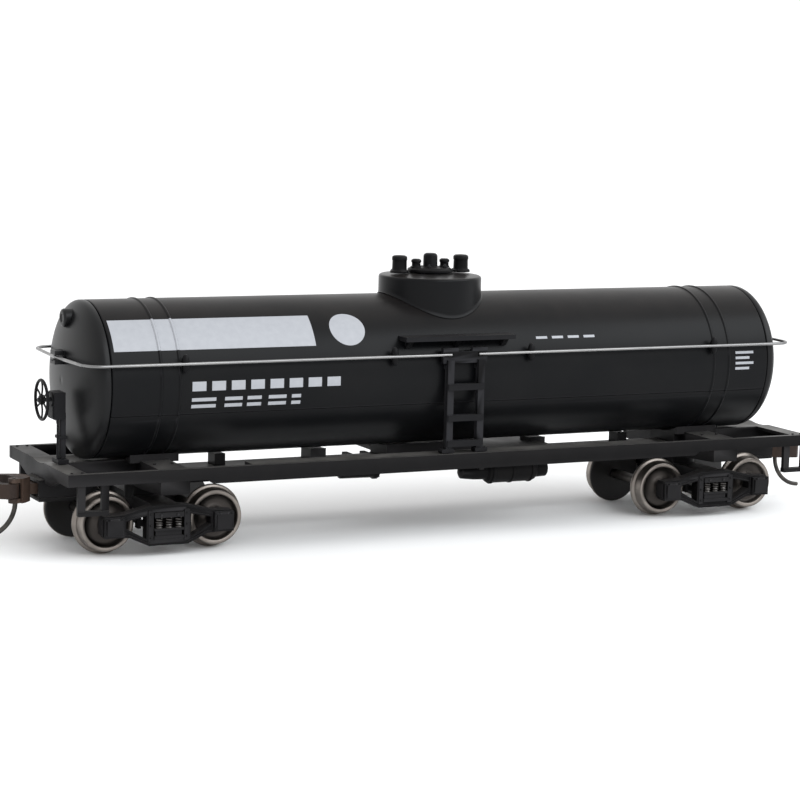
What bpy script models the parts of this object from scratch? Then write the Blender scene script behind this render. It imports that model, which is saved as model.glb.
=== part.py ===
"""HO-scale single-dome tank wagon, 1:87, as an assembly of separate solids.

X runs along the wagon with the hand-brake end at -X, Y runs across it and Z points up.
The origin is in the middle of the wagon on the surface that the wheel flanges stand on.
All sizes below are millimetres; build() turns them into metres.
"""
import math

import bmesh
import bpy
from mathutils import Matrix, Vector

MM = 0.001
GAP = 0.1               # air between pieces that are glued, clipped or rest together
RUNNING = 0.07          # radial play of a pin or shaft that turns in its bore

# running gear
AXLE_Z = 5.45
TREAD_R = 4.8
FLANGE_R = 5.45
WHEEL_OUTER_Y = 10.05
WHEEL_WIDTH = 2.8
AXLE_R = 0.8
AXLE_CONE = ((10.6, 0.8), (12.5, 0.15), (12.6, 0.05))      # pointed end, as (along, radius)
WHEELBASE = 19.6
TRUCK_X = 54.8          # truck centre from the middle of the wagon
BOLSTER_HALF = 2.4
SIDEFRAME_IN = 11.1
SIDEFRAME_OUT = 13.1
JOURNAL_OUT = 13.9
CENTRE_PLATE_TOP = 10.3
SCREW_R = 0.9
SCREW_HEAD_R = 1.7

# tank
TANK_Z = 28.75
TANK_R = 13.55
TANK_WALL = 1.0
BARREL_HALF = 65.1
END_FLANGE = 0.7
END_DEPTH = 3.6
SEAM_ANGLE = math.radians(-21)      # joint between the two half shells, below the axis
STRAP_HALF = 1.65       # a strap is a pair of ridges, this far either side of its middle
STRAP_RISE = 0.2
DOME_R = 9.3
DOME_TOP = 45.5
DOME_WALL = 1.0
VALVE_X = 6.2

# underframe
FRAME_HALF = 73.5
FRAME_Y = 16.2
SILL_TOP = 15.25
SILL_BOTTOM = 12.5
END_SILL_BOTTOM = 13.1
DEEP_SILL_HALF = 48.0
SPINE_BOTTOM = 10.4
SPINE_FLAT = 51.4       # the centre sill's flat underside stops short of the trucks' centre plates
STIRRUP_X = (-69.1, 70.8)               # middles of the corner steps at the two ends

# couplers
COUPLER_Z = 10.58
COUPLER_PIVOT = 69.0
KNUCKLE_PIN_U = 78.3    # distance out along the wagon, with V to the side of the middle
KNUCKLE_PIN_V = 1.95
KNUCKLE_R = 0.85
PIN_R = 0.28
HEAD_HALF = 2.1
LUG = 0.75              # thickness of the ears above and below the knuckle
POST_R = 0.95
BOX_BACK = 65.2
BOX_MOUTH = 74.4
BOX_HALF = 3.4
BOX_FLOOR = 9.2
LID_THICK = 0.6
BOX_ROOF = 12.4
TRIP_PIN = (77.5, 0.1)   # the uncoupling wire below the head, as (outward, sideways)
TRIP_R = 0.42

# fittings
WIRE_R = 0.28
RAIL_Z = 32.7
RAIL_Y = 14.6
RAIL_END_X = 69.9
LADDER_HALF = 3.7
STANCHION_X = (13.6, 52.5)
BRAKE_Y = -4.6
BRAKE_WHEEL_X = -74.4
BRAKE_WHEEL_Z = 26.2
BRAKE_WHEEL_R = 3.3
SHAFT_R = 0.38

BLACK = ("black_plastic", (0.016, 0.016, 0.018, 1), 0.42, 0.0)
FRAME_BLACK = ("underframe_plastic", (0.02, 0.02, 0.022, 1), 0.5, 0.0)
NICKEL = ("nickel_wheel", (0.55, 0.52, 0.49, 1), 0.32, 1.0)
STEEL = ("steel_wire", (0.62, 0.62, 0.63, 1), 0.25, 1.0)
BROWN = ("brown_coupler", (0.045, 0.028, 0.022, 1), 0.5, 0.0)
WEIGHT = ("steel_weight", (0.3, 0.3, 0.31, 1), 0.45, 1.0)


# ---------------------------------------------------------------- shapes, as (vertices, faces)
def box(x, y, z):
    """Box between the two limits of each axis."""
    verts = [(a, b, c) for a in x for b in y for c in z]
    faces = [(0, 1, 3, 2), (4, 6, 7, 5), (0, 4, 5, 1), (2, 3, 7, 6), (0, 2, 6, 4), (1, 5, 7, 3)]
    return verts, faces


def on_axis(axis, along, p, q):
    """Point with its coordinate along an axis, and the two across it in cyclic order."""
    return {"X": (along, p, q), "Y": (q, along, p), "Z": (p, q, along)}[axis]


def prism(outline, axis, low, high):
    """Outline of (p, q) points carried along an axis."""
    count = len(outline)
    verts = [on_axis(axis, level, p, q) for level in (low, high) for p, q in outline]
    faces = [tuple(range(count)), tuple(range(count, 2 * count))]
    faces += [(i, (i + 1) % count, count + (i + 1) % count, count + i) for i in range(count)]
    return verts, faces


def plate_xz(outline, low, high):
    """Outline of (x, z) points carried along Y."""
    return prism([(z, x) for x, z in outline], "Y", low, high)


def lathe(profile, axis, segments, centre=(0, 0), ring=False):
    """Profile of (along, radius) points turned about an axis through centre (p, q)."""
    verts, rows = [], []
    for along, radius in profile:
        if radius <= 1e-9:
            rows.append([len(verts)] * segments)
            verts.append(on_axis(axis, along, *centre))
            continue
        rows.append(list(range(len(verts), len(verts) + segments)))
        for i in range(segments):
            turn = 2 * math.pi * i / segments
            p = centre[0] + radius * math.cos(turn)
            q = centre[1] + radius * math.sin(turn)
            verts.append(on_axis(axis, along, p, q))
    faces = []
    pairs = list(zip(rows, rows[1:])) + ([(rows[-1], rows[0])] if ring else [])
    for a, b in pairs:
        for i in range(segments):
            j = (i + 1) % segments
            corners = tuple(dict.fromkeys((a[i], a[j], b[j], b[i])))
            if len(corners) > 2:
                faces.append(corners)
    if not ring:
        for row, (along, radius) in ((rows[0], profile[0]), (rows[-1], profile[-1])):
            if radius > 1e-9:
                faces.append(tuple(row))
    return verts, faces


def rod(axis, low, high, radius, centre, segments=16):
    """Round bar between two positions along an axis."""
    return lathe([(low, radius), (high, radius)], axis, segments, centre)


def sector(profile, first, last, steps):
    """Closed profile of (x, radius) points swept about the tank's axis between two angles."""
    count = len(profile)
    verts = []
    for i in range(steps + 1):
        turn = first + (last - first) * i / steps
        for x, radius in profile:
            verts.append((x, radius * math.cos(turn), TANK_Z + radius * math.sin(turn)))
    faces = [tuple(range(count)), tuple(range(steps * count, (steps + 1) * count))]
    for i in range(steps):
        for j in range(count):
            k = (j + 1) % count
            faces.append((i * count + j, i * count + k, (i + 1) * count + k, (i + 1) * count + j))
    return verts, faces


def joined(shapes):
    """Several shapes as one list of vertices and faces."""
    verts, faces = [], []
    for some_verts, some_faces in shapes:
        start = len(verts)
        verts += some_verts
        faces += [tuple(start + i for i in face) for face in some_faces]
    return verts, faces


def turned_end_for_end(shape):
    """The same shape at the other end of the wagon, turned by half a turn about Z."""
    verts, faces = shape
    return [(-x, -y, z) for x, y, z in verts], faces


def mirrored(shape, x=False, y=False):
    """The shape mirrored across X or Y; normals are worked out again when it is built."""
    verts, faces = shape
    return [(-a if x else a, -b if y else b, c) for a, b, c in verts], faces


# ---------------------------------------------------------------- building objects
def material(look):
    name, colour, roughness, metallic = look
    found = bpy.data.materials.get(name)
    if found:
        return found
    made = bpy.data.materials.new(name)
    made.use_nodes = True
    shader = made.node_tree.nodes["Principled BSDF"]
    shader.inputs["Base Color"].default_value = colour
    shader.inputs["Roughness"].default_value = roughness
    shader.inputs["Metallic"].default_value = metallic
    made.diffuse_color = colour
    return made


def mesh_object(name, shape, origin):
    verts, faces = shape
    centre = Vector(origin)
    mesh = bpy.data.meshes.new(name)
    mesh.from_pydata([(Vector(v) - centre) * MM for v in verts], [], faces)
    work = bmesh.new()
    work.from_mesh(mesh)
    bmesh.ops.recalc_face_normals(work, faces=work.faces[:])
    work.to_mesh(mesh)
    work.free()
    obj = bpy.data.objects.new(name, mesh)
    bpy.context.collection.objects.link(obj)
    obj.location = centre * MM
    return obj


def pivot(name, origin):
    """Empty on a joint's axis, to carry the pieces that turn about it."""
    empty = bpy.data.objects.new(name, None)
    empty.location = Vector(origin) * MM
    empty.empty_display_size = 3 * MM
    bpy.context.collection.objects.link(empty)
    return empty


def hang(obj, parent):
    if parent:
        obj.parent = parent
        obj.location = obj.location - parent.location


def build(name, look, base, add=(), cut=(), origin=(0, 0, 0), parent=None):
    """One sub-part: a base shape, shapes united with it, then shapes cut from it."""
    obj = mesh_object(name, base, origin)
    for shapes, action in ((add, "UNION"), (cut, "DIFFERENCE")):
        if not shapes:
            continue
        guide = mesh_object(f"{name}_{action.lower()}", joined(shapes), origin)
        guide.hide_render = True
        guide.display_type = "WIRE"
        hang(guide, parent)
        step = obj.modifiers.new(action.title(), "BOOLEAN")
        step.operation = action
        step.object = guide
        step.use_self = True
    hang(obj, parent)
    obj.data.materials.append(material(look))
    obj.data.shade_smooth()
    obj.data.set_sharp_from_angle(angle=math.radians(32))
    return obj


def wire(name, look, points, radius, origin=(0, 0, 0), parent=None, sides=2):
    """Round wire through the given points."""
    centre = Vector(origin)
    curve = bpy.data.curves.new(name, "CURVE")
    curve.dimensions = "3D"
    curve.bevel_depth = radius * MM
    curve.bevel_resolution = sides
    curve.use_fill_caps = True
    spline = curve.splines.new("POLY")
    spline.points.add(len(points) - 1)
    for slot, point in zip(spline.points, points):
        slot.co = (*((Vector(point) - centre) * MM), 1)
    obj = bpy.data.objects.new(name, curve)
    bpy.context.collection.objects.link(obj)
    obj.location = centre * MM
    hang(obj, parent)
    curve.materials.append(material(look))
    return obj


# ---------------------------------------------------------------- tank
def barrel_profile():
    """Outer and inner outline of the barrel's wall, with the two ridges of each strap."""
    ridge = ((-0.3, 0), (-0.12, STRAP_RISE), (0.12, STRAP_RISE), (0.3, 0))
    outer = [(-BARREL_HALF, TANK_R)]
    for centre in (-TRUCK_X, TRUCK_X):
        for edge in (-STRAP_HALF, STRAP_HALF):
            outer += [(centre + edge + step, TANK_R + rise) for step, rise in ridge]
    outer.append((BARREL_HALF, TANK_R))
    inner = TANK_R - TANK_WALL
    return outer + [(BARREL_HALF, inner), (-BARREL_HALF, inner)]


def make_barrel():
    seam_gap = GAP / 2 / TANK_R
    near, far = SEAM_ANGLE + seam_gap, math.pi - SEAM_ANGLE - seam_gap
    top = sector(barrel_profile(), near, far, 32)
    build("tank_top_shell", BLACK, top, origin=(0, 0, TANK_Z))
    low = sector(barrel_profile(), far + 2 * seam_gap, near - 2 * seam_gap + 2 * math.pi, 20)
    build("tank_bottom_shell", BLACK, low, origin=(0, 0, TANK_Z))


def end_profile(radius, depth, steps):
    """Half of an ellipse, from the rim to the middle of the dished end."""
    rim = BARREL_HALF + GAP
    points = [(rim, radius)]
    for i in range(steps + 1):
        turn = math.pi / 2 * i / steps
        points.append((rim + END_FLANGE + depth * math.sin(turn), radius * math.cos(turn)))
    points[-1] = (points[-1][0], 0)
    return points


def make_tank_end(name, sign, extra):
    outer = end_profile(TANK_R, END_DEPTH, 6)
    inner = end_profile(TANK_R - TANK_WALL, END_DEPTH - 0.9, 4)
    dish = lathe(outer + inner[::-1], "X", 36, (0, TANK_Z), ring=True)
    apex = BARREL_HALF + GAP + END_FLANGE + END_DEPTH
    clip = box((apex - 0.8, apex + 1.6), (-1.3, 1.3), (RAIL_Z - 1.2, RAIL_Z + 1.2))
    slot = box((apex + 0.1, apex + 2.5), (-3, 3), (RAIL_Z - 0.4, RAIL_Z + 0.4))
    shapes = [clip] + extra
    if sign < 0:
        dish, slot = turned_end_for_end(dish), turned_end_for_end(slot)
        shapes = [turned_end_for_end(shape) for shape in shapes]
    build(name, BLACK, dish, add=shapes, cut=[slot], origin=(0, 0, TANK_Z))


def make_tank_ends():
    boss = lathe([(66.0, 1.6), (69.0, 1.6), (69.3, 1.3), (69.3, 0)], "X", 16, (-0.5, TANK_Z + 10.5))
    make_tank_end("tank_end_brake", -1, [boss])
    make_tank_end("tank_end_plain", 1, [])


def make_dome():
    top = TANK_Z + TANK_R
    wall = lathe([(TANK_Z, DOME_R), (DOME_TOP - 0.35, DOME_R), (DOME_TOP, DOME_R - 0.35),
                  (DOME_TOP + 0.35, 4.6), (DOME_TOP + 0.4, 0)], "Z", 40)
    inside, ceiling = DOME_R - DOME_WALL, DOME_TOP - DOME_WALL
    hollow = lathe([(TANK_Z - 5, inside), (ceiling, inside), (ceiling, 0)], "Z", 40)
    tank = rod("X", -20, 20, TANK_R + GAP, (0, TANK_Z), 64)
    build("dome", BLACK, wall, cut=[tank, hollow], origin=(0, 0, top))


def make_dome_fittings():
    floor = DOME_TOP + 0.4 + GAP
    cover = lathe([(floor, 4.1), (floor + 0.6, 4.1), (floor + 0.9, 3.7), (floor + 0.9, 0)], "Z", 28)
    cap = rod("Z", floor + 0.4, floor + 3.4, 1.35, (0, 0), 20)
    knobs = [rod("Z", floor + 0.4, floor + 2.4, 0.95, (2.85 * s, 0), 14) for s in (-1, 1)]
    dogs = []
    for i in range(6):
        turn = math.radians(30 + 60 * i)
        place = (3.1 * math.sin(turn), 3.1 * math.cos(turn))
        dogs.append(rod("Z", floor + 0.4, floor + 1.3, 0.42, place, 6))
    build("manway_cover", BLACK, cover, add=[cap] + knobs + dogs, origin=(0, 0, floor))
    seat = DOME_TOP + 0.35 + GAP
    for name, sign in (("safety_valve_brake_side", -1), ("safety_valve_plain_side", 1)):
        outline = [(0, 1.7), (0.4, 1.7), (0.6, 1.35), (2.9, 1.3), (3.1, 1.15), (3.1, 0)]
        outline = [(seat + up, radius) for up, radius in outline]
        valve = lathe(outline, "Z", 20, (VALVE_X * sign, 0))
        build(name, BLACK, valve, origin=(VALVE_X * sign, 0, seat))


# ---------------------------------------------------------------- tank fittings
def make_dome_steps():
    height = 35.6
    reach = math.sqrt((TANK_R + GAP) ** 2 - (height - TANK_Z) ** 2)
    for name, sign in (("dome_step_near", -1), ("dome_step_far", 1)):
        board = box((-11.8, 9.9), (reach - 1, 14.9), (height - 0.4, height + 0.4))
        braces = []
        for x in (-10.9, -1.4, 8.0):
            upper, lower = height - 0.2, height - 1.7
            outline = [(11.0, upper), (14.2, upper), (12.9, lower), (11.0, lower)]
            braces.append(prism(outline, "X", x, x + 1.0))
        tank = rod("X", -20, 20, TANK_R + GAP, (0, TANK_Z), 64)
        shapes = [mirrored(shape, y=sign < 0) for shape in [board] + braces]
        build(name, BLACK, shapes[0], add=shapes[1:], cut=[tank], origin=(0, sign * 14, height))


def make_ladders():
    foot = SILL_TOP + GAP
    inner, outer = RAIL_Y - 0.5, RAIL_Y + 0.6
    behind_wire = (inner - 0.3, RAIL_Y + 0.08)
    for name, sign in (("ladder_near", -1), ("ladder_far", 1)):
        crosspiece = box((-LADDER_HALF - 0.7, LADDER_HALF + 0.7), behind_wire, (RAIL_Z - 1.5, RAIL_Z + 0.6))
        parts = []
        for side in (-1, 1):
            ear = sorted((side * (LADDER_HALF + 0.69), side * (LADDER_HALF - 2.3)))
            parts.append(box(ear, (inner - 0.29, RAIL_Y + 0.07), (RAIL_Z, RAIL_Z + 1.2)))
            x = sorted((side * LADDER_HALF, side * (LADDER_HALF - 1.3)))
            parts.append(box(x, (inner, outer), (foot, RAIL_Z - 0.9)))
            ankle = sorted((side * (LADDER_HALF + 0.8), side * (LADDER_HALF - 1.6)))
            parts.append(box(ankle, (inner - 0.3, outer + 0.2), (foot, foot + 0.7)))
            parts.append(box(x, (12.0, inner + 0.3), (RAIL_Z - 2.6, RAIL_Z - 1.6)))
        for z in (foot + 1.6, 21.5, 27.0):
            rung = (-LADDER_HALF + 0.2, LADDER_HALF - 0.2)
            parts.append(box(rung, (inner + 0.15, outer + 0.25), (z - 0.55, z + 0.55)))
        bores = [rod("X", side * 2.5, side * 6, WIRE_R + GAP, (RAIL_Y, RAIL_Z), 12) for side in (-1, 1)]
        tank = rod("X", -20, 20, TANK_R + GAP, (0, TANK_Z), 64)
        shapes = [mirrored(shape, y=sign < 0) for shape in [crosspiece] + parts]
        cuts = [mirrored(shape, y=sign < 0) for shape in bores] + [tank]
        build(name, BLACK, shapes[0], add=shapes[1:], cut=cuts, origin=(0, sign * RAIL_Y, foot))


def rail_route():
    """One half of the handrail: along one side, round the end in a shallow bow and back."""
    radius = 3.2
    corner_x, corner_y = RAIL_END_X - radius, RAIL_Y - radius
    points = [(2.7, -RAIL_Y, RAIL_Z), (corner_x, -RAIL_Y, RAIL_Z)]
    steps = 6
    for i in range(1, steps + 1):
        turn = math.radians(84) * i / steps
        points.append((corner_x + radius * math.sin(turn), -corner_y - radius * math.cos(turn), RAIL_Z))
    points.append((BARREL_HALF + END_FLANGE + END_DEPTH + 1.05, -1.5, RAIL_Z))
    return points + [(x, -y, z) for x, y, z in points[::-1]]


def make_handrails():
    for name, sign in (("handrail_brake_end", -1), ("handrail_plain_end", 1)):
        route = [(sign * x, sign * y, z) for x, y, z in rail_route()]
        wire(name, STEEL, route, WIRE_R, origin=(sign * 36, 0, RAIL_Z))


def make_stanchions():
    reach = math.sqrt((TANK_R + STRAP_RISE + GAP) ** 2 - (RAIL_Z - TANK_Z) ** 2)
    number = 0
    for sign in (-1, 1):
        for x in (-STANCHION_X[1], -STANCHION_X[0], *STANCHION_X):
            number += 1
            across = sorted((sign * (RAIL_Y - 0.95), sign * (RAIL_Y + 0.1)))
            post = box((x - 0.75, x + 0.75), across, (RAIL_Z - 1.6, RAIL_Z + 1.6))
            across = sorted((sign * (reach + 0.06), sign * (RAIL_Y - 0.5)))
            stem = box((x - 0.4, x + 0.4), across, (RAIL_Z - 0.45, RAIL_Z + 0.45))
            groove = rod("X", x - 1, x + 1, WIRE_R + GAP, (sign * RAIL_Y, RAIL_Z), 12)
            place = (x, sign * RAIL_Y, RAIL_Z)
            build(f"handrail_post_{number}", BLACK, post, add=[stem], cut=[groove], origin=place)


# ---------------------------------------------------------------- underframe
def side_sill(sign):
    deep, high = SILL_BOTTOM, END_SILL_BOTTOM + 0.1
    outline = [(-FRAME_HALF, SILL_TOP), (-FRAME_HALF, high), (-DEEP_SILL_HALF - 1, high),
               (-DEEP_SILL_HALF, deep), (DEEP_SILL_HALF, deep), (DEEP_SILL_HALF + 1, high),
               (FRAME_HALF, high), (FRAME_HALF, SILL_TOP)]
    return plate_xz(outline, *sorted((sign * (FRAME_Y - 1.1), sign * FRAME_Y)))


def end_sill(sign):
    shallow, deep, box_top = END_SILL_BOTTOM, 11.8, BOX_ROOF
    half = [(3.6, box_top), (3.6, deep), (6.5, deep), (10.5, shallow), (FRAME_Y - 0.3, shallow),
            (FRAME_Y - 0.3, SILL_TOP - 0.05)]
    outline = half + [(-y, z) for y, z in half[::-1]]
    outer = sign * (FRAME_HALF - 0.02)
    return prism(outline, "X", *sorted((outer, outer - sign * 1.0)))


def stirrup(x, sign):
    """Corner step: two legs and a tread, hung from the side sill."""
    near, far = sorted((sign * (FRAME_Y - 0.95), sign * (FRAME_Y - 0.15)))
    half, leg, tread = 2.7, 1.3, 8.3
    legs = [box((x - half, x - half + leg), (near, far), (tread, SILL_TOP - 0.6)),
            box((x + half - leg, x + half), (near, far), (tread, SILL_TOP - 0.6))]
    bar = box((x - half + 0.1, x + half - 0.1), sorted((sign * (FRAME_Y - 1.25), sign * (FRAME_Y + 0.0))),
              (tread - 0.1, tread + 0.7))
    return legs + [bar]


def make_underframe():
    half = [(SPINE_FLAT, SPINE_BOTTOM), (SPINE_FLAT + 1.0, SPINE_BOTTOM + 0.8), (SPINE_FLAT + 1.0, 12.85)]
    spine = plate_xz(half + [(-x, z) for x, z in half[::-1]], -3.0, 3.0)
    parts = [side_sill(-1), side_sill(1), end_sill(-1), end_sill(1)]
    for sign in (-1, 1):
        inside = sorted((sign * 11.6, sign * (FRAME_Y - 0.05)))
        parts.append(box((-40.5, 40.5), inside, (SILL_TOP - 0.6, SILL_TOP - 0.03)))
        ends = sorted((sign * 51.0, sign * (FRAME_HALF - 0.5)))
        parts.append(box(ends, (-4.2, 4.2), (BOX_ROOF, SILL_TOP - 0.04)))
        shelf = sorted((sign * (FRAME_HALF - 0.1), sign * (FRAME_HALF - 3.5)))
        parts.append(box(shelf, (-FRAME_Y + 0.1, FRAME_Y - 0.1), (SILL_TOP - 0.65, SILL_TOP - 0.02)))
        centre = sign * TRUCK_X
        bolster = [(-FRAME_Y + 0.04, SILL_TOP - 0.06), (-FRAME_Y + 0.04, 11.0), (-7, SPINE_BOTTOM + 0.02),
                   (7, SPINE_BOTTOM + 0.02),
                   (FRAME_Y - 0.04, 11.0), (FRAME_Y - 0.04, SILL_TOP - 0.06)]
        parts.append(prism(bolster, "X", centre - 2.6, centre + 2.6))
        parts.append(box((centre - 4.4, centre + 4.4), (-6.0, 6.0), (SILL_TOP - 0.4, 17.5)))
        for place, half, width in ((41.0, 1.0, 1.6), (22.4, 1.5, 2.1)):
            middle = sign * place
            parts.append(box((middle - half, middle + half), (-width, width), (12.7, 16.2)))
    for x in STIRRUP_X:
        parts += stirrup(x, -1) + stirrup(x, 1)
    parts.append(box((-9.5, 9.5), (-3.4, 3.4), (12.65, 16.6)))
    parts.append(box((-7.5, 9.0), (-FRAME_Y + 0.6, FRAME_Y - 0.6), (12.55, 13.3)))
    parts.append(box((9.2, 23.0), (-7.0, 7.0), (13.9, 14.3)))
    tank = rod("X", -FRAME_HALF - 5, FRAME_HALF + 5, TANK_R + STRAP_RISE + GAP, (0, TANK_Z), 64)
    cuts = [tank]
    for sign in (-1, 1):
        cuts.append(rod("Z", 9, 14.0, SCREW_R + GAP, (sign * TRUCK_X, 0), 16))
    build("underframe", FRAME_BLACK, spine, add=parts, cut=cuts, origin=(0, 0, SILL_TOP))


def make_weight():
    bar = box((-42, 42), (-5.4, 5.4), (18.3, 20.2))
    build("steel_weight", WEIGHT, bar, origin=(0, 0, 19))


def make_brake_gear():
    axis = (-6.4, 10.1)
    profile = [(3.6, 0.5), (4.0, 1.2), (6.6, 1.5), (8.9, 1.6), (9.2, 2.1), (9.9, 2.3)]
    profile += [(18.0, 2.3), (18.8, 2.1), (19.2, 1.7), (21.4, 1.6), (21.6, 0.5)]
    tank = lathe(profile, "X", 20, axis)
    hanger = [box((x, x + 1.0), (-8.0, -4.8), (10.6, 12.45)) for x in (7.0, 16.0)]
    build("air_reservoir", FRAME_BLACK, tank, add=hanger, origin=(13, *axis))
    axis = (6.6, 9.9)
    profile = [(-20.5, 0.35), (-14.9, 0.35), (-14.7, 1.3), (-14.1, 2.2)]
    profile += [(-7.9, 2.3), (-7.5, 2.6), (-6.9, 2.6), (-6.6, 1.2)]
    cylinder = lathe(profile, "X", 20, axis)
    hanger = [box((x, x + 1.0), (5.2, 8.0), (10.4, 12.45)) for x in (-13.1, -9.5)]
    build("brake_cylinder", FRAME_BLACK, cylinder, add=hanger, origin=(-11, *axis))
    floor = SILL_TOP + GAP
    column = box((-71.5, -70.4), (BRAKE_Y - 0.9, BRAKE_Y + 0.9), (floor, 24))
    foot = box((-72.0, -70.1), (BRAKE_Y - 1.7, BRAKE_Y + 1.7), (floor, floor + 0.8))
    housing = box((-72.7, -70.7), (BRAKE_Y - 1.6, BRAKE_Y + 1.6), (22.9, 27.5))
    shaft = rod("X", BRAKE_WHEEL_X - 0.7, -72.5, SHAFT_R, (BRAKE_Y, BRAKE_WHEEL_Z), 12)
    build("brake_stand", FRAME_BLACK, column, add=[foot, housing, shaft], origin=(-71, BRAKE_Y, floor))


def make_brake_wheel():
    x, centre = BRAKE_WHEEL_X, (BRAKE_Y, BRAKE_WHEEL_Z)
    thick = 0.28
    rim = []
    for i in range(6):
        turn = 2 * math.pi * i / 6
        rim.append((x + thick * math.sin(turn), BRAKE_WHEEL_R + thick * math.cos(turn)))
    ring = lathe(rim, "X", 24, centre, ring=True)
    spokes = []
    for i in range(6):
        turn = math.radians(60 * i)
        bar = box((x - 0.16, x + 0.16), (0.3, BRAKE_WHEEL_R), (-0.2, 0.2))
        turned = Matrix.Rotation(turn, 3, "X")
        verts = [tuple(turned @ Vector((0, v[1], v[2])) + Vector((v[0], *centre))) for v in bar[0]]
        spokes.append((verts, bar[1]))
    hub = rod("X", x - 0.4, x + 0.45, 0.85, centre, 16)
    bore = rod("X", x - 1, x + 1, SHAFT_R + RUNNING, centre, 12)
    build("brake_wheel", FRAME_BLACK, ring, add=spokes + [hub], cut=[bore], origin=(x, *centre))


# ---------------------------------------------------------------- couplers
def head_outline():
    """Coupler head seen from above, as (outward, sideways): the guard arm is at -v."""
    arm = [(75.2, 1.1), (75.2, -1.1), (76.5, -2.4), (80.1, -3.5), (80.7, -3.1), (79.8, -2.2)]
    return arm + [(78.6, -1.5), (78.25, -0.8), (78.15, 0.25), (77.55, 0.95), (77.2, 2.9), (76.4, 2.4)]


def round_the_pin(radius, first):
    """Part of a circle about the knuckle's pin, from an angle in degrees on through 205 more."""
    points = []
    for i in range(9):
        turn = math.radians(first + 205 * i / 8)
        points.append((KNUCKLE_PIN_U + radius * math.cos(turn), KNUCKLE_PIN_V + radius * math.sin(turn)))
    return points


def lug_outline():
    """Ear above and below the knuckle, round its pin."""
    return [(76.6, 2.2), (76.8, 0.4)] + round_the_pin(0.95, -100)


def knuckle_outline():
    """Knuckle seen from above: a round hinge with a finger that hooks in over the middle."""
    finger = [(79.4, 1.15), (79.95, 0.7), (79.9, -0.2), (80.4, -0.75), (81.05, -0.5)]
    finger += [(81.45, 0.5), (81.25, 1.6), (80.5, 2.4), (79.4, 2.85)]
    return round_the_pin(KNUCKLE_R, 75) + finger


def make_draft_box(end, flip, place):
    """Open-ended box round the coupler's shank, with the post it swings on, and the lid below."""
    roof = BOX_ROOF - GAP
    post = rod("Z", BOX_FLOOR + 0.3, roof - 0.2, POST_R, (COUPLER_PIVOT, 0), 16)
    walls = [box((BOX_BACK, BOX_BACK + 0.8), (-BOX_HALF, BOX_HALF), (BOX_FLOOR + GAP, roof))]
    for side in (-1, 1):
        cheek = sorted((side * BOX_HALF, side * (BOX_HALF - 0.65)))
        walls.append(box((BOX_BACK + 0.7, BOX_MOUTH), cheek, (BOX_FLOOR + GAP, roof - 0.001)))
    plate = box((BOX_BACK + 0.3, BOX_MOUTH - 0.01), (-BOX_HALF + 0.01, BOX_HALF - 0.01), (11.7, roof - 0.002))
    walls = [flip(shape) for shape in walls + [post]]
    build(f"{end}_draft_box", FRAME_BLACK, flip(plate), add=walls, origin=place)
    lid = box((BOX_BACK, BOX_MOUTH), (-BOX_HALF, BOX_HALF), (BOX_FLOOR - LID_THICK, BOX_FLOOR))
    hole = rod("Z", BOX_FLOOR - 1, BOX_FLOOR + 1, 0.6, (COUPLER_PIVOT, 0), 12)
    build(f"{end}_box_lid", FRAME_BLACK, flip(lid), cut=[flip(hole)], origin=place)


def make_coupler(end, sign):
    flip = turned_end_for_end if sign < 0 else (lambda shape: shape)
    place = (sign * COUPLER_PIVOT, 0, COUPLER_Z)
    make_draft_box(end, flip, place)
    swing = pivot(f"{end}_coupler_pivot", place)
    low, high = COUPLER_Z - HEAD_HALF, COUPLER_Z + HEAD_HALF
    hinge = (KNUCKLE_PIN_U, KNUCKLE_PIN_V)
    wire_u, wire_v = TRIP_PIN

    shank_z = (COUPLER_Z - 0.93, COUPLER_Z + 0.87)
    shank = box((COUPLER_PIVOT + 0.5, KNUCKLE_PIN_U - 2.1), (-1.05, 1.05), shank_z)
    eye = rod("Z", COUPLER_Z - 0.92, COUPLER_Z + 0.86, 1.9, (COUPLER_PIVOT, 0), 20)
    head = prism(head_outline(), "Z", low, high)
    lugs = [prism(lug_outline(), "Z", low + 0.01, low + LUG)]
    lugs.append(prism(lug_outline(), "Z", high - LUG, high - 0.01))
    cuts = [rod("Z", 8, 13, POST_R + RUNNING, (COUPLER_PIVOT, 0), 16),
            rod("Z", low - 1, high + 1, PIN_R + RUNNING, hinge, 12),
            rod("Z", low + LUG + 0.1, high - LUG - 0.1, KNUCKLE_R + 0.15, hinge, 24),
            rod("Z", low - 1, COUPLER_Z, TRIP_R + RUNNING, (wire_u, wire_v), 12)]
    build(f"{end}_coupler", BROWN, flip(shank), add=[flip(shape) for shape in [eye, head] + lugs],
          cut=[flip(shape) for shape in cuts], origin=place, parent=swing)

    pin_place = (sign * KNUCKLE_PIN_U, sign * KNUCKLE_PIN_V, COUPLER_Z)
    knuckle = prism(knuckle_outline(), "Z", low + LUG + 0.12, high - LUG - 0.12)
    bore = rod("Z", low - 1, high + 1, PIN_R + RUNNING, hinge, 12)
    build(f"{end}_knuckle", BROWN, flip(knuckle), cut=[flip(bore)], origin=pin_place, parent=swing)
    pin = rod("Z", low - 0.15, high + 0.1, PIN_R, hinge, 12)
    build(f"{end}_knuckle_pin", STEEL, flip(pin), origin=pin_place, parent=swing)

    bend, bend_z, steps = 5.8, 8.3, 10
    route = [(wire_u, wire_v, COUPLER_Z - 0.2), (wire_u, wire_v, bend_z)]
    for i in range(1, steps + 1):
        turn = math.radians(88) * i / steps
        route.append((wire_u + bend * (1 - math.cos(turn)), wire_v, bend_z - bend * math.sin(turn)))
    route = [(sign * u, sign * v, z) for u, v, z in route]
    wire(f"{end}_trip_pin", STEEL, route, TRIP_R, origin=place, parent=swing)


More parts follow.
